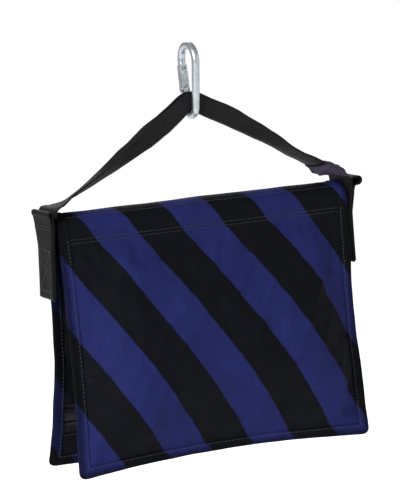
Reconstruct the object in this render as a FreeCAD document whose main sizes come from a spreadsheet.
import FreeCAD, Part
import math
import os
import Sketcher

# Saddle sandbag: two pouches hang from an arch, with a carrying handle and a snap hook.
# Frame: X runs along the fold, the front pouch faces -Y, +Z is up.
# Origin: on the axis of the saddle arch (the tube it sits on), half way along it.

Vector = FreeCAD.Vector
Placement = FreeCAD.Placement
Rotation = FreeCAD.Rotation
doc = FreeCAD.newDocument("sandbag")
os.makedirs("parts", exist_ok=True)

# ---------------------------------------------------------------- driving dimensions
# alias, value (mm, or degrees where the alias ends in _deg), note
DIMENSIONS = [
    ("bag_width", 310.0, "length of the fold and width of each pouch"),
    ("tube_radius", 15.0, "inside radius of the saddle arch"),
    ("lining_thick", 1.5, "reinforcement strip under the arch"),
    ("shell_thick", 1.5, "outer saddle cloth with its backing"),
    ("pouch_drop", 236.0, "pouch height below the arch axis"),
    ("top_gap", 1.5, "gap between saddle edge and pouch seam"),
    ("splay_deg", 4.1, "outward lean of each hanging pouch"),
    ("panel_thick", 1.2, "pouch cloth"),
    ("belly", 27.0, "how far the filled face stands out"),
    ("flange", 11.0, "flat sewn margin round each pouch"),
    ("binding_thick", 1.0, "edge binding tape"),
    ("binding_width", 10.0, "edge binding, folded width"),
    ("zip_level", 190.0, "zipper line below the arch axis"),
    ("zip_opening", 16.0, "gap between upper and lower back panels"),
    ("tape_width", 12.5, "zipper tape, each side"),
    ("tape_thick", 0.8, "zipper tape"),
    ("tape_reach", 138.0, "half length of the zipper tapes"),
    ("coil_half", 126.0, "half length of the coil rows"),
    ("coil_width", 2.2, "one coil row"),
    ("coil_thick", 2.2, "coil row height"),
    ("coil_gap", 1.2, "slot between the two rows for the slider web"),
    ("slider_length", 12.0, "zipper slider"),
    ("slider_half", 4.5, "half width of the slider"),
    ("slider_rest", 118.0, "slider centre when the zipper is shut"),
    ("puller_length", 27.0, "zipper puller"),
    ("puller_width", 7.0, "zipper puller"),
    ("web_width", 40.0, "handle webbing width"),
    ("web_thick", 2.0, "handle webbing thickness"),
    ("web_out", 158.1, "webbing root, distance from the middle"),
    ("tab_inner", 160.0, "inner face of the end tab"),
    ("tab_thick", 4.0, "end tab, two layers of webbing"),
    ("tab_drop", 62.0, "end tab reach below the arch axis"),
    ("tab_hinge", 19.0, "height of the end tab's upper fold"),
    ("knuckle_radius", 3.2, "rounded upper fold of the end tab"),
    ("hook_base", 94.0, "lowest point of the snap hook"),
    ("hook_length", 76.0, "snap hook overall"),
    ("wire_radius", 3.75, "snap hook wire"),
    ("bow_top", 15.5, "upper bow centreline radius"),
    ("bow_low", 10.2, "lower bow centreline radius"),
    ("gate_start", 16.0, "gate pivot, distance up the straight side"),
    ("gate_end", 45.5, "gate tip, distance up the straight side"),
    ("rivet_radius", 1.5, "gate rivet"),
    ("rivet_play", 0.05, "radial clearance on the gate rivet"),
    ("loop_radius", 4.8, "webbing fold radius inside the hook"),
]
value = {}
sheet = doc.addObject("Spreadsheet::Sheet", "Sheet")
for row, (alias, number, note) in enumerate(DIMENSIONS, start=1):
    sheet.set("A%d" % row, alias)
    sheet.set("B%d" % row, "%g" % number)
    sheet.set("C%d" % row, note)
    sheet.setAlias("B%d" % row, alias)
    value[alias] = number
doc.recompute()


class Size:
    """A number together with the sheet expression that drives it."""

    def __init__(self, number, formula=None):
        self.number = float(number)
        self.formula = formula if formula is not None else "%.6g" % number

    def __add__(self, other):
        other = as_size(other)
        return Size(self.number + other.number, "(%s + %s)" % (self.formula, other.formula))

    def __sub__(self, other):
        other = as_size(other)
        return Size(self.number - other.number, "(%s - %s)" % (self.formula, other.formula))

    def __mul__(self, other):
        other = as_size(other)
        return Size(self.number * other.number, "(%s * %s)" % (self.formula, other.formula))

    def __truediv__(self, other):
        other = as_size(other)
        return Size(self.number / other.number, "(%s / %s)" % (self.formula, other.formula))

    def __neg__(self):
        return Size(-self.number, "(0 - %s)" % self.formula)


def as_size(x):
    return x if isinstance(x, Size) else Size(x)


def size(alias):
    return Size(value[alias], "Sheet." + alias)


def drive(obj, path, quantity):
    """Bind a property to the sheet when its size depends on the sheet."""
    if "Sheet." in quantity.formula:
        obj.setExpression(path, quantity.formula)


parts = []  # objects that are written out


def keep(obj, label):
    obj.Label = label
    parts.append(obj)


# ---------------------------------------------------------------- sketch helpers
START, END, CENTRE = 1, 2, 3  # point numbers used by sketch constraints


def new_body(name):
    return doc.addObject("PartDesign::Body", name)


def new_sketch(body, name, role, lift=0.0):
    """Sketch on an origin plane, moved by lift along that plane's normal."""
    sketch = body.newObject("Sketcher::SketchObject", name)
    plane = next(f for f in body.Origin.OriginFeatures if f.Role == role)
    sketch.AttachmentSupport = [(plane, "")]
    sketch.MapMode = "FlatFace"
    if lift:
        sketch.AttachmentOffset = Placement(Vector(0, 0, lift), Rotation())
    return sketch


def constrain(sketch, *args):
    return sketch.addConstraint(Sketcher.Constraint(*args))


def set_point(sketch, edge, point, x, y):
    """Tie one point of an edge to the sketch origin."""
    for kind, distance in (("DistanceX", as_size(x)), ("DistanceY", as_size(y))):
        index = constrain(sketch, kind, -1, 1, edge, point, distance.number)
        drive(sketch, "Constraints[%d]" % index, distance)


def set_radius(sketch, edge, radius):
    radius = as_size(radius)
    index = constrain(sketch, "Radius", edge, radius.number)
    drive(sketch, "Constraints[%d]" % index, radius)


def line(sketch, start, end):
    return sketch.addGeometry(Part.LineSegment(Vector(*start, 0), Vector(*end, 0)), False)


def arc(sketch, centre, radius, start_deg, end_deg):
    full = Part.Circle(Vector(*centre, 0), Vector(0, 0, 1), radius)
    piece = Part.ArcOfCircle(full, math.radians(start_deg), math.radians(end_deg))
    return sketch.addGeometry(piece, False)


def circle(sketch, x, y, radius):
    x, y, radius = as_size(x), as_size(y), as_size(radius)
    centre = Vector(x.number, y.number, 0)
    edge = sketch.addGeometry(Part.Circle(centre, Vector(0, 0, 1), radius.number), False)
    set_radius(sketch, edge, radius)
    set_point(sketch, edge, CENTRE, x, y)


def polygon(sketch, points):
    """Closed outline with every corner tied to the sketch origin."""
    points = [(as_size(x), as_size(y)) for x, y in points]
    flat = [(x.number, y.number) for x, y in points]
    count = len(points)
    edges = [line(sketch, flat[i], flat[(i + 1) % count]) for i in range(count)]
    for i in range(count):
        constrain(sketch, "Coincident", edges[i], END, edges[(i + 1) % count], START)
    for edge, (x, y) in zip(edges, points):
        set_point(sketch, edge, START, x, y)


def rectangle(sketch, x0, y0, x1, y1):
    polygon(sketch, [(x0, y0), (x1, y0), (x1, y1), (x0, y1)])


def fix_outline(sketch, edges, joins):
    """Join edges point to point, then block them where they are drawn."""
    for join in joins:
        constrain(sketch, "Coincident", *join)
    for edge in edges:
        constrain(sketch, "Block", edge)


# ---------------------------------------------------------------- solid helpers
def extrude(kind, body, sketch, name, length, midplane, reverse):
    feature = body.newObject(kind, name)
    feature.Profile = sketch
    length = as_size(length)
    feature.Length = length.number
    drive(feature, "Length", length)
    feature.Midplane = midplane
    feature.Reversed = reverse
    doc.recompute()


def pad(body, sketch, name, length, midplane=False, reverse=False):
    extrude("PartDesign::Pad", body, sketch, name, length, midplane, reverse)


def pocket(body, sketch, name, length, midplane=False):
    before = body.Shape.Volume
    extrude("PartDesign::Pocket", body, sketch, name, length, midplane, False)
    if body.Shape.Volume > before - 1e-3:
        raise RuntimeError("pocket %s cut nothing" % name)


def box(name, size_x, size_y, size_z, x, y, z):
    solid = doc.addObject("Part::Box", name)
    for prop, length in (("Length", size_x), ("Width", size_y), ("Height", size_z)):
        length = as_size(length)
        setattr(solid, prop, length.number)
        drive(solid, prop, length)
    corner = [as_size(c) for c in (x, y, z)]
    solid.Placement = Placement(Vector(*[c.number for c in corner]), Rotation())
    for axis, place in zip("xyz", corner):
        drive(solid, ".Placement.Base." + axis, place)
    return solid


def cylinder(name, radius, height, placement):
    solid = doc.addObject("Part::Cylinder", name)
    for prop, length in (("Radius", as_size(radius)), ("Height", as_size(height))):
        setattr(solid, prop, length.number)
        drive(solid, prop, length)
    solid.Placement = placement
    return solid


def keep_placed(name, label, links, placement):
    """Keep solids together as one compound, moved as a whole."""
    compound = doc.addObject("Part::Compound", name)
    compound.Links = links
    compound.Placement = placement
    keep(compound, label)


def keep_shape(name, label, shape, placement=None):
    feature = doc.addObject("Part::Feature", name)
    feature.Shape = shape
    if placement is not None:
        feature.Placement = placement
    keep(feature, label)


def ruled_solid(sections):
    """Solid through closed outlines that all have the same number of corners."""
    wires = []
    for points in sections:
        corners = [Vector(*point) for point in points]
        wires.append(Part.makePolygon(corners + [corners[0]]))
    solid = Part.makeLoft(wires, True, True)
    if solid.ShapeType != "Solid":
        solid = solid.Solids[0]
    if solid.Volume < 0:
        solid.reverse()
    return solid


# ================================================================== saddle
def half_ring(name, label, inner, outer):
    """Arch over the tube: a half ring drawn in the YZ plane, as long as the fold."""
    body = new_body(name)
    sketch = new_sketch(body, name + "_profile", "YZ_Plane")
    r_in, r_out = inner.number, outer.number
    outer_arc = arc(sketch, (0, 0), r_out, 0, 180)
    inner_arc = arc(sketch, (0, 0), r_in, 0, 180)
    rear_end = line(sketch, (r_in, 0), (r_out, 0))
    front_end = line(sketch, (-r_out, 0), (-r_in, 0))
    for rule in (
        ("Coincident", outer_arc, CENTRE, -1, 1),
        ("Coincident", inner_arc, CENTRE, -1, 1),
        ("Coincident", rear_end, END, outer_arc, START),
        ("Coincident", rear_end, START, inner_arc, START),
        ("Coincident", front_end, START, outer_arc, END),
        ("Coincident", front_end, END, inner_arc, END),
        ("Horizontal", rear_end),
        ("Horizontal", front_end),
        ("PointOnObject", outer_arc, START, -1),
        ("PointOnObject", outer_arc, END, -1),
    ):
        constrain(sketch, *rule)
    set_radius(sketch, outer_arc, outer)
    set_radius(sketch, inner_arc, inner)
    pad(body, sketch, name + "_pad", size("bag_width"), midplane=True)
    keep(body, label)


lining_outer = size("tube_radius") + size("lining_thick")
half_ring("SaddlePanel", "saddle_panel", lining_outer, lining_outer + size("shell_thick"))
half_ring("SaddleReinforcement", "saddle_reinforcement", size("tube_radius"), lining_outer)


# ================================================================== pouch cloth and fill
# Each pouch is drawn in its own frame: x along the fold, y away from the face
# (towards the other pouch), z up, with the origin on its top hinge line.
half_width = value["bag_width"] / 2
margin_x = half_width - value["flange"]  # where the flat side margin begins
SWELL_TOP = 12.0  # the swelling runs from here down to the bottom margin
SWELL_BOTTOM = value["pouch_drop"] - value["flange"]
SHOULDER_WIDTH = 62.0  # from the side margin to the full swelling

# Grid lines of the face cloth: x to one side of the middle, then z from top to bottom
HALF_GRID_X = [0, 48, 82, 106, 122, 134, margin_x, half_width]
GRID_X = [-x for x in reversed(HALF_GRID_X[1:])] + HALF_GRID_X
GRID_Z = [
    -value["top_gap"], -SWELL_TOP, -28, -48, -72, -98, -124, -150,
    -174, -194, -209, -219, -SWELL_BOTTOM, -value["pouch_drop"],
]


def swell(x, z):
    """How far the inside of the face cloth stands off the seam plane."""
    inward = max(0.0, min(1.0, (margin_x - abs(x)) / SHOULDER_WIDTH))
    across = math.sin(0.5 * math.pi * inward) ** 0.8
    down = (-z - SWELL_TOP) / (SWELL_BOTTOM - SWELL_TOP)
    along = math.sin(math.pi * down**1.45) ** 0.75 if 0 < down < 1 else 0.0
    return value["belly"] * across * along


def grid_cell(lines, place):
    """Index of the first interval that holds place, and the fraction along it."""
    for i, (a, b) in enumerate(zip(lines, lines[1:])):
        if min(a, b) - 1e-9 <= place <= max(a, b) + 1e-9:
            return i, (place - a) / (b - a)
    raise ValueError("%g lies off the grid" % place)


def swell_at(x, z):
    """The swelling read between its grid lines, as the panels are built."""
    i, u = grid_cell(GRID_X, x)
    j, w = grid_cell(GRID_Z, z)
    x0, x1, z0, z1 = GRID_X[i], GRID_X[i + 1], GRID_Z[j], GRID_Z[j + 1]
    upper = swell(x0, z0) * (1 - u) + swell(x1, z0) * u
    lower = swell(x0, z1) * (1 - u) + swell(x1, z1) * u
    return upper * (1 - w) + lower * w


def face_shape():
    """Face cloth: flat sewn margins, swelling out over the fill."""
    sections = []
    for x in GRID_X:
        outer = [(x, -(swell_at(x, z) + value["panel_thick"]), z) for z in GRID_Z]
        inner = [(x, -swell_at(x, z), z) for z in reversed(GRID_Z)]
        sections.append(outer + inner)
    return ruled_solid(sections)


def fill_shape(reach, top, bottom, front_gap, back):
    """Solid behind the face cloth, front_gap clear of it, with a flat back at y = back."""
    xs = [-reach] + [x for x in GRID_X if -reach + 1 < x < reach - 1] + [reach]
    zs = [top] + [z for z in GRID_Z if bottom + 1 < z < top - 1] + [bottom]
    sections = []
    for x in xs:
        front = [(x, -(swell_at(x, z) - front_gap), z) for z in zs]
        sections.append(front + [(x, back, bottom), (x, back, top)])
    return ruled_solid(sections)


def liner_shape():
    """Sealed inner bag: a closed skin around the sand."""
    outer = fill_shape(reach=122.0, top=-56.0, bottom=-212.0, front_gap=0.5, back=-3.0)
    inner = fill_shape(reach=121.3, top=-56.8, bottom=-211.2, front_gap=1.2, back=-3.7)
    return outer.cut(inner)


def sand_shape():
    return fill_shape(reach=121.2, top=-62.0, bottom=-211.1, front_gap=1.3, back=-3.8)


def back_panels(side, place):
    """Flat back cloth in two pieces, with the zipper opening between them."""
    half_opening = size("zip_opening") / 2
    for name, label, top, bottom in (
        ("BackPanelUpper", "_back_panel_upper",
         -size("top_gap"), -(size("zip_level") - half_opening)),
        ("BackPanelLower", "_back_panel_lower",
         -(size("zip_level") + half_opening), -size("pouch_drop")),
    ):
        full_name = side.capitalize() + name
        body = new_body(full_name)
        sketch = new_sketch(body, full_name + "_outline", "XZ_Plane")
        rectangle(sketch, -(size("bag_width") / 2), bottom, size("bag_width") / 2, top)
        # the XZ plane faces -Y, so the cloth is added on its other side
        pad(body, sketch, full_name + "_cloth", size("panel_thick"), reverse=True)
        body.Placement = place
        keep(body, side + label)


def u_outline(sketch, outer_x, outer_z, inner_x, inner_z, top):
    """U shape, open upward, symmetric about x = 0."""
    polygon(sketch, [
        (-outer_x, top), (-outer_x, outer_z), (outer_x, outer_z), (outer_x, top),
        (inner_x, top), (inner_x, inner_z), (-inner_x, inner_z), (-inner_x, top),
    ])


def edge_binding(side, place):
    """Folded tape round both sides and the bottom."""
    cap = side.capitalize()
    thick, width = size("binding_thick"), size("binding_width")
    edge_x, drop = size("bag_width") / 2, size("pouch_drop")
    below_gap = 3.5  # from the top of the cloth down to the tape ends
    slot_overrun = 5.0  # the slot cuts this far past the tape
    body = new_body(cap + "EdgeBinding")
    sketch = new_sketch(body, cap + "Binding_outline", "XZ_Plane")
    u_outline(sketch, edge_x + thick, -(drop + thick), edge_x - width, -(drop - width),
              top=-(size("top_gap") + below_gap))
    pad(body, sketch, cap + "Binding_tape", size("panel_thick") * 2 + thick * 2, midplane=True)
    sketch = new_sketch(body, cap + "Binding_slot", "XZ_Plane")
    u_outline(sketch, edge_x, -drop, edge_x - width - slot_overrun,
              -(drop - width - slot_overrun), top=slot_overrun)
    pocket(body, sketch, cap + "Binding_fold", size("panel_thick") * 2, midplane=True)
    body.Placement = place
    keep(body, side + "_edge_binding")


# ================================================================== zipper
zip_z = -size("zip_level")
SLIDER_TOP = 3.5  # y of the slider's outer face, away from the fill


def zipper_strips(side, place):
    """Tapes inside the back cloth, coil rows standing in the opening."""
    cap = side.capitalize()
    half_gap = size("coil_gap") / 2
    tape_gap = half_gap + 0.4
    tape_y = -(size("tape_thick") + 0.1)
    # name, label, half length, thickness, width, y, gap from the zipper line
    strips = (
        ("Tape", "tape", size("tape_reach"), size("tape_thick"), size("tape_width"),
         tape_y, tape_gap),
        ("Coil", "coil", size("coil_half"), size("coil_thick"), size("coil_width"),
         -0.1, half_gap),
    )
    for row in ("upper", "lower"):
        for name, label, reach, thick, width, y, gap in strips:
            z = zip_z + gap if row == "upper" else zip_z - gap - width
            strip = box(cap + name + "_" + row, reach * 2, thick, width, -reach, y, z)
            keep_placed(cap + name + "Placed_" + row, side + "_zipper_" + label + "_" + row,
                        [strip], place)


def zipper_slider(side, place):
    """Plates on both faces of the rows, side walls, and a thin web between the rows."""
    cap = side.capitalize()
    body = new_body(cap + "ZipperSlider")
    start_x = value["slider_rest"] - value["slider_length"] / 2
    sketch = new_sketch(body, cap + "Slider_section", "YZ_Plane", start_x)
    half = size("slider_half")
    wall = half - 1.2
    web = size("coil_gap") / 2 - 0.25
    roof, wall_foot, floor, base = 2.3, 0.1, -1.1, -2.2
    # upper half of the section: y, distance above the zipper line
    profile = [
        (SLIDER_TOP, half), (wall_foot, half), (wall_foot, wall), (roof, wall),
        (roof, web), (floor, web), (floor, half), (base, half),
    ]
    upper = [(y, zip_z + off) for y, off in profile]
    lower = [(y, zip_z - off) for y, off in reversed(profile)]
    polygon(sketch, upper + lower)
    pad(body, sketch, cap + "Slider_plates", size("slider_length"))

    # crown that holds the puller: two feet and a bridge along the slide
    centre_x = size("slider_rest")
    crown_half_length, crown_half_width = 4.6, 0.9
    window_half, window_top = 3.2, 5.4
    sketch = new_sketch(body, cap + "Slider_crown", "XZ_Plane", -(SLIDER_TOP - 0.1))
    rectangle(sketch, centre_x - crown_half_length, zip_z - crown_half_width,
              centre_x + crown_half_length, zip_z + crown_half_width)
    pad(body, sketch, cap + "Slider_crown_block", 3.0, reverse=True)
    sketch = new_sketch(body, cap + "Slider_window", "XY_Plane", zip_z.number)
    rectangle(sketch, centre_x - window_half, SLIDER_TOP, centre_x + window_half, window_top)
    pocket(body, sketch, cap + "Slider_crown_window", 4.0, midplane=True)
    body.Placement = place
    keep(body, side + "_zipper_slider")


def zipper_puller(side, place):
    """A plate with a hole, two arms, and a cross bar under the crown."""
    cap = side.capitalize()
    body = new_body(cap + "ZipperPuller")
    half = size("puller_width") / 2
    bar_x = size("slider_rest")
    tip_x = bar_x - size("puller_length")
    near_y, thick = 3.85, 1.2
    arm_inner = 1.7  # inner edge of each arm, from the zipper line
    # sketch name, feature name, x0, z0, x1, z1
    for outline, feature, x0, z0, x1, z1 in (
        ("Puller_outline", "Puller_plate", tip_x, zip_z - half, bar_x - 6.0, zip_z + half),
        ("Puller_arm_a", "Puller_arm_up", bar_x - 6.5, zip_z + arm_inner, bar_x, zip_z + half),
        ("Puller_arm_b", "Puller_arm_low", bar_x - 6.5, zip_z - half, bar_x, zip_z - arm_inner),
    ):
        sketch = new_sketch(body, cap + outline, "XZ_Plane", -near_y)
        rectangle(sketch, x0, z0, x1, z1)
        pad(body, sketch, cap + feature, thick, reverse=True)
    sketch = new_sketch(body, cap + "Puller_bar", "XY_Plane", zip_z.number)
    circle(sketch, bar_x, near_y + thick / 2, thick / 2)
    pad(body, sketch, cap + "Puller_cross_bar", size("puller_width"), midplane=True)
    sketch = new_sketch(body, cap + "Puller_hole", "XZ_Plane", -3.0)
    circle(sketch, tip_x + 4.0, zip_z, 1.6)
    pocket(body, sketch, cap + "Puller_eye", 8.0, midplane=True)
    body.Placement = place
    keep(body, side + "_zipper_puller")


def zipper_stops(side, place):
    """A block just past each end of the coil rows, spanning both."""
    cap = side.capitalize()
    length, thick, height, gap = 3.0, 3.0, 7.0, 0.1
    reach = size("coil_half") + gap
    stops = [
        box(cap + name, length, thick, height, x, 0.0, zip_z - height / 2)
        for name, x in (("Stop0", -reach - length), ("Stop1", reach))
    ]
    keep_placed(cap + "ZipperStops", side + "_zipper_stops", stops, place)


def pouch(side, place):
    cap = side.capitalize()
    keep_shape(cap + "FacePanel", side + "_face_panel", face_shape(), place)
    back_panels(side, place)
    edge_binding(side, place)
    zipper_strips(side, place)
    zipper_slider(side, place)
    zipper_puller(side, place)
    zipper_stops(side, place)
    keep_shape(cap + "LinerBag", side + "_liner_bag", liner_shape(), place)
    keep_shape(cap + "SandFill", side + "_sand_fill", sand_shape(), place)


front_place = Placement(
    Vector(0, -lining_outer.number, 0), Rotation(Vector(1, 0, 0), -value["splay_deg"])
)
half_turn = Placement(Vector(0, 0, 0), Rotation(Vector(0, 0, 1), 180))
pouch("front", front_place)
pouch("rear", half_turn.multiply(front_place))


# ================================================================== handle
# Webbing strip: upright at the ends, folding upward into a trough inside the hook.
half_web = value["web_thick"] / 2
fold_length = math.pi * value["loop_radius"]  # width of strip taken up by the fold
FOLD_STEPS = 6
root_x = -value["web_out"]
# bottom centre line of the strip at its apex, just above the hook's lower bow
apex_z = value["hook_base"] + 2 * value["wire_radius"] + 0.15 + half_web

# Left half of the strip's bottom centre line, from the left end to the apex:
# x, z, direction of travel above +X in degrees, fold from 0 (flat) to 1 (trough)
LEFT_STATIONS = [
    (root_x, 16.0, 90, 0.0),
    (root_x, 18.5, 90, 0.0),
    (root_x + 0.7, 21.6, 72, 0.0),
    (root_x + 2.5, 24.2, 52, 0.01),
    (root_x + 5.5, 26.6, 36, 0.02),
    (root_x + 10.1, 29.2, 28, 0.03),
    (-128.0, 38.6, 26, 0.07),
    (-100.0, 52.0, 26, 0.18),
    (-72.0, 65.8, 27, 0.44),
    (-46.0, 79.0, 27, 0.76),
    (-26.0, 89.3, 27, 0.95),
    (-13.0, 96.0, 25, 1.0),
    (-6.0, 100.0, 19, 1.0),
    (-2.5, apex_z - 0.25, 8, 1.0),
    (0.0, apex_z, 0, 1.0),
]


def strip_section(x, z, direction, fold):
    """Closed outline of the strip at one station."""
    heading = math.radians(direction)
    bend = math.pi * max(fold, 0.002)
    radius = fold_length / bend
    middle = []  # y, rise, slope angle
    for i in range(FOLD_STEPS + 1):
        slope = -bend / 2 + bend * i / FOLD_STEPS
        middle.append((radius * math.sin(slope), radius * (1 - math.cos(slope)), slope))
    wing = (value["web_width"] - fold_length) / 2

    def wing_tip(root, sign):
        y, rise, slope = root
        return (y + sign * wing * math.cos(slope), rise + sign * wing * math.sin(slope), slope)

    middle = [wing_tip(middle[0], -1)] + middle + [wing_tip(middle[-1], 1)]
    outline = []
    for face, points in ((-1, middle), (1, middle[::-1])):
        for y, rise, slope in points:
            face_y = y - face * half_web * math.sin(slope)
            face_rise = rise + face * half_web * math.cos(slope)
            outline.append(
                (x - face_rise * math.sin(heading), face_y, z + face_rise * math.cos(heading))
            )
    return outline


def handle_webbing():
    right = [(-x, z, -angle, fold) for x, z, angle, fold in reversed(LEFT_STATIONS[:-1])]
    sections = [strip_section(*station) for station in LEFT_STATIONS + right]
    keep_shape("HandleWebbing", "handle_webbing", ruled_solid(sections))


def handle_tab(side, sign):
    """Doubled webbing with a rounded fold on top, hanging over the bag's end."""
    body = new_body("HandleTab_" + side)
    inner, hinge, knuckle = size("tab_inner"), size("tab_hinge"), size("knuckle_radius")
    inner_x, outer_x = inner * sign, (inner + size("tab_thick")) * sign
    sketch = new_sketch(body, "Tab_outline_" + side, "XZ_Plane")
    rectangle(sketch, inner_x, -size("tab_drop"), outer_x, hinge)
    pad(body, sketch, "Tab_layers_" + side, size("web_width"), midplane=True)
    sketch = new_sketch(body, "Tab_fold_" + side, "XZ_Plane")
    circle(sketch, (inner + knuckle) * sign, hinge, knuckle)
    pad(body, sketch, "Tab_knuckle_" + side, size("web_width"), midplane=True)
    keep(body, "handle_tab_" + side)


def tab_stitching(side, sign):
    """Box-and-cross stitching, a raised thread on the tab's outer face."""
    raised, thread = 0.5, 0.9  # thread height off the face, thread width
    half_y, top, bottom = 14.5, -16.0, -54.0
    face_x = (value["tab_inner"] + value["tab_thick"]) * sign
    x = face_x if sign > 0 else face_x - raised
    rise, run = top - bottom, 2 * half_y - thread
    # name, y size, z size, y, z
    threads = [
        box(name + side, raised, size_y, size_z, x, y, z)
        for name, size_y, size_z, y, z in (
            ("St_a", half_y * 2, thread, -half_y, top),
            ("St_b", half_y * 2, thread, -half_y, bottom),
            ("St_c", thread, rise + thread, -half_y, bottom),
            ("St_d", thread, rise + thread, half_y - thread, bottom),
        )
    ]
    diagonal = math.hypot(run, rise)
    middle = Vector(x + raised / 2, 0, (top + bottom) / 2 + thread / 2)
    for name, lean in (("St_e", 1), ("St_f", -1)):
        cross = box(name + side, raised, diagonal, thread, 0, 0, 0)
        turn = Rotation(Vector(1, 0, 0), math.degrees(math.atan2(rise, run)) * lean)
        to_middle = turn.multVec(Vector(raised / 2, diagonal / 2, thread / 2))
        cross.Placement = Placement(middle - to_middle, turn)
        threads.append(cross)
    fused = doc.addObject("Part::MultiFuse", "TabStitching_" + side)
    fused.Shapes = threads
    keep(fused, "tab_stitching_" + side)


handle_webbing()
for tab_side, tab_sign in (("left", -1), ("right", 1)):
    handle_tab(tab_side, tab_sign)
    tab_stitching(tab_side, tab_sign)


# ================================================================== snap hook
# The hook lies in the YZ plane: two bows joined by straight sides, the gate on +Y.
low_centre_z = size("hook_base") + size("wire_radius") + size("bow_low")
top_centre_z = (
    size("hook_base") + size("hook_length") - size("wire_radius") - size("bow_top")
)
low_z, top_z = low_centre_z.number, top_centre_z.number
low_radius, top_radius = value["bow_low"], value["bow_top"]
span = top_z - low_z
lean = math.asin((top_radius - low_radius) / span)  # of each straight side from vertical
lean_deg = math.degrees(lean)
cos_lean, sin_lean = math.cos(lean), math.sin(lean)
side_length = span * cos_lean
wire_width = size("wire_radius") * 2

# Places up the gate side, measured from the lower bow
pivot = value["gate_start"]
pivot_shoulder = pivot - 5.2
nose_shoulder = value["gate_end"] - 5.5
gate_top = nose_shoulder - 0.35

TONGUE_THICK = 4.4
SLOT_WIDTH = 4.8
PIN_RADIUS = 1.0


def side_point(up, sign):
    """(y, z) on a straight side's centre line; sign is +1 for the gate side."""
    return (
        sign * (low_radius * cos_lean + up * sin_lean),
        low_z - low_radius * sin_lean + up * cos_lean,
    )


def by_gate(up, out):
    """(y, z) beside the gate line: up from the lower bow, out towards +Y."""
    y, z = side_point(up, 1)
    return (y + out * cos_lean, z - out * sin_lean)


def on_gate_axis(up):
    """Placement on the gate line with its Z along that line."""
    y, z = by_gate(up, 0)
    return Placement(Vector(0, y, z), Rotation(Vector(0, 0, 1), Vector(0, sin_lean, cos_lean)))


pivot_point = side_point(pivot, 1)
pin_y, pin_z = by_gate(nose_shoulder - 3.7, 0)
pin_place = Placement(
    Vector(-value["wire_radius"], pin_y, pin_z), Rotation(Vector(0, 0, 1), Vector(1, 0, 0))
)


def spine_path(hook):
    """Lower bow, long side, upper bow, down to the nose."""
    path = new_sketch(hook, "Wire_path_spine", "YZ_Plane")
    low_bow = arc(path, (0, low_z), low_radius, 180 + lean_deg, 270)
    long_side = line(path, side_point(0, -1), side_point(side_length, -1))
    top_bow = arc(path, (0, top_z), top_radius, -lean_deg, 180 + lean_deg)
    nose_side = line(path, side_point(side_length, 1), side_point(nose_shoulder, 1))
    constrain(path, "Tangent", low_bow, START, long_side, START)
    constrain(path, "Tangent", long_side, END, top_bow, END)
    constrain(path, "Tangent", top_bow, START, nose_side, START)
    set_radius(path, low_bow, size("bow_low"))
    set_radius(path, top_bow, size("bow_top"))
    set_point(path, low_bow, CENTRE, 0.0, low_centre_z)
    set_point(path, top_bow, CENTRE, 0.0, top_centre_z)
    return path


def gate_side_path(hook):
    """Lower bow up to the pivot."""
    path = new_sketch(hook, "Wire_path_gate_side", "YZ_Plane")
    low_bow = arc(path, (0, low_z), low_radius, -90, -lean_deg)
    side = line(path, side_point(0, 1), side_point(pivot_shoulder, 1))
    constrain(path, "Coincident", low_bow, END, side, START)
    set_radius(path, low_bow, size("bow_low"))
    set_point(path, low_bow, CENTRE, 0.0, low_centre_z)
    return path


def wire_section(hook, name):
    """Wire circle at the lowest point of the hook, where both paths start."""
    section = new_sketch(hook, name, "XZ_Plane")
    circle(section, 0.0, size("hook_base") + size("wire_radius"), size("wire_radius"))
    return section


def wire_pipe(hook, name, section, path):
    doc.recompute()
    pipe = hook.newObject("PartDesign::AdditivePipe", name)
    pipe.Profile = section
    pipe.Spine = (path, [])
    doc.recompute()


def pivot_tongue(hook):
    """Flattened end that carries the rivet."""
    radius = 3.1
    foot = pivot_shoulder - 2.0
    sketch = new_sketch(hook, "Pivot_tongue_outline", "YZ_Plane")
    inner = line(sketch, by_gate(foot, -radius), by_gate(pivot, -radius))
    tip = arc(sketch, pivot_point, radius, -lean_deg, 180 - lean_deg)
    outer = line(sketch, by_gate(pivot, radius), by_gate(foot, radius))
    base = line(sketch, by_gate(foot, radius), by_gate(foot, -radius))
    fix_outline(sketch, (inner, tip, outer, base), (
        (inner, END, tip, END),
        (tip, START, outer, START),
        (outer, END, base, START),
        (base, END, inner, START),
    ))
    circle(sketch, *pivot_point, size("rivet_radius"))
    doc.recompute()
    pad(hook, sketch, "Pivot_tongue", TONGUE_THICK, midplane=True)


def nose_tongue(hook):
    """Hooked tongue with a notch, open inwards, for the gate's cross pin."""
    # distance up from the nose shoulder, distance out from the gate line
    outline = [
        (2.0, -2.9), (2.0, 2.9), (-7.0, 2.9), (-7.0, -1.6),
        (-5.0, -1.6), (-5.0, 1.25), (-2.4, 1.25), (-2.4, -2.9),
    ]
    sketch = new_sketch(hook, "Nose_tongue_outline", "YZ_Plane")
    polygon(sketch, [by_gate(nose_shoulder + up, out) for up, out in outline])
    pad(hook, sketch, "Nose_tongue", TONGUE_THICK, midplane=True)


def carabiner_body():
    hook = new_body("CarabinerBody")
    section = wire_section(hook, "Wire_section")
    spine = spine_path(hook)
    gate_side = gate_side_path(hook)
    wire_pipe(hook, "Wire_spine", section, spine)
    section = wire_section(hook, "Wire_section_gate")
    wire_pipe(hook, "Wire_gate_side", section, gate_side)
    pivot_tongue(hook)
    nose_tongue(hook)
    keep(hook, "carabiner_body")


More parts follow.
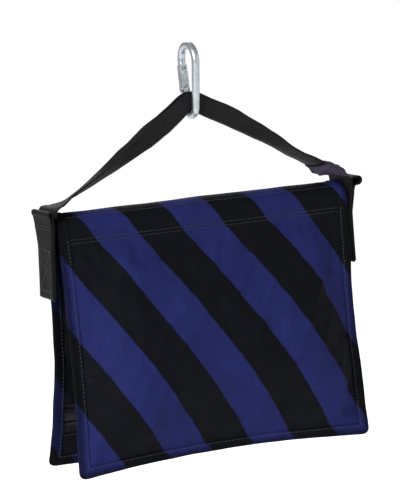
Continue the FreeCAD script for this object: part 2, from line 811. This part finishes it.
def carabiner_gate():
    """Bar slotted at both ends over the two tongues, bored for spring and pin."""
    radius = 3.5
    gate = new_body("CarabinerGate")
    sketch = new_sketch(gate, "Gate_outline", "YZ_Plane")
    inner = line(sketch, by_gate(pivot, -radius), by_gate(gate_top, -radius))
    top = line(sketch, by_gate(gate_top, -radius), by_gate(gate_top, radius))
    outer = line(sketch, by_gate(gate_top, radius), by_gate(pivot, radius))
    foot = arc(sketch, pivot_point, radius, 180 - lean_deg, 360 - lean_deg)
    fix_outline(sketch, (inner, top, outer, foot), (
        (inner, END, top, START),
        (top, END, outer, START),
        (outer, END, foot, END),
        (foot, START, inner, START),
    ))
    circle(sketch, *pivot_point, size("rivet_radius") + size("rivet_play"))
    doc.recompute()
    pad(gate, sketch, "Gate_bar", wire_width, midplane=True)

    reach = 6  # the slots cut this far to each side of the gate line
    for outline, feature, low, high in (
        ("Gate_lower_slot", "Gate_fork", pivot - 6, pivot + 4.4),
        ("Gate_upper_slot", "Gate_nose_slot", gate_top - 7.6, gate_top + 3),
    ):
        sketch = new_sketch(gate, outline, "YZ_Plane")
        corners = ((low, -reach), (low, reach), (high, reach), (high, -reach))
        polygon(sketch, [by_gate(up, out) for up, out in corners])
        pocket(gate, sketch, feature, SLOT_WIDTH, midplane=True)

    bores = doc.addObject("Part::MultiFuse", "Gate_bores")
    bores.Shapes = [
        cylinder("Gate_spring_bore", 1.5, 7.4, on_gate_axis(pivot + 3.4)),
        cylinder("Gate_pin_hole", PIN_RADIUS, wire_width, pin_place),
    ]
    bored = doc.addObject("Part::Cut", "GateBored")
    bored.Base = gate
    bored.Tool = bores
    keep(bored, "carabiner_gate")


def gate_rivet():
    """Shank through the pivot with a head on each cheek."""
    rivet = new_body("GateRivet")
    sketch = new_sketch(rivet, "Rivet_shank_outline", "YZ_Plane")
    circle(sketch, *pivot_point, size("rivet_radius"))
    pad(rivet, sketch, "Rivet_shank", wire_width + 1.4, midplane=True)
    head_x = value["wire_radius"] + 0.1
    for name, lift in (("a", head_x), ("b", -head_x)):
        sketch = new_sketch(rivet, "Rivet_head_" + name, "YZ_Plane", lift)
        circle(sketch, *pivot_point, 2.4)
        pad(rivet, sketch, "Rivet_cap_" + name, 0.8, reverse=(lift < 0))
    keep(rivet, "gate_rivet")


def gate_spring():
    """Coil spring in the gate's bore."""
    coil_radius = 1.05
    helix = doc.addObject("Part::Helix", "Spring_line")
    helix.Pitch = 1.15
    helix.Height = 4.4
    helix.Radius = coil_radius
    wire = doc.addObject("Part::Circle", "Spring_wire")
    wire.Radius = 0.25
    wire.Placement = Placement(Vector(coil_radius, 0, 0), Rotation(Vector(1, 0, 0), 90))
    coil = doc.addObject("Part::Sweep", "Spring_coil")
    coil.Sections = [wire]
    coil.Spine = (helix, ["Edge1"])
    coil.Solid = True
    coil.Frenet = True
    keep_placed("GateSpring", "gate_spring", [coil], on_gate_axis(pivot + 6.0))


carabiner_body()
carabiner_gate()
gate_rivet()
keep(cylinder("NosePin", PIN_RADIUS, wire_width, pin_place), "gate_nose_pin")
gate_spring()
# small plunger between the spring and the pivot tongue
keep(cylinder("GatePlunger", 1.35, 2.0, on_gate_axis(pivot + 3.6)), "gate_plunger")

# ---------------------------------------------------------------- check and write
doc.recompute()
faults = []
for obj in doc.Objects:
    state = [str(flag) for flag in obj.State]
    if "Invalid" in state or "Error" in state:
        faults.append("%s (%s) %s" % (obj.Name, obj.Label, state))
for part in parts:
    if part.Shape.isNull() or not part.Shape.isValid() or not part.Shape.Solids:
        faults.append("shape of " + part.Label)
if faults:
    raise RuntimeError("; ".join(faults))
for part in parts:
    part.Shape.exportStep("parts/%s.step" % part.Label)
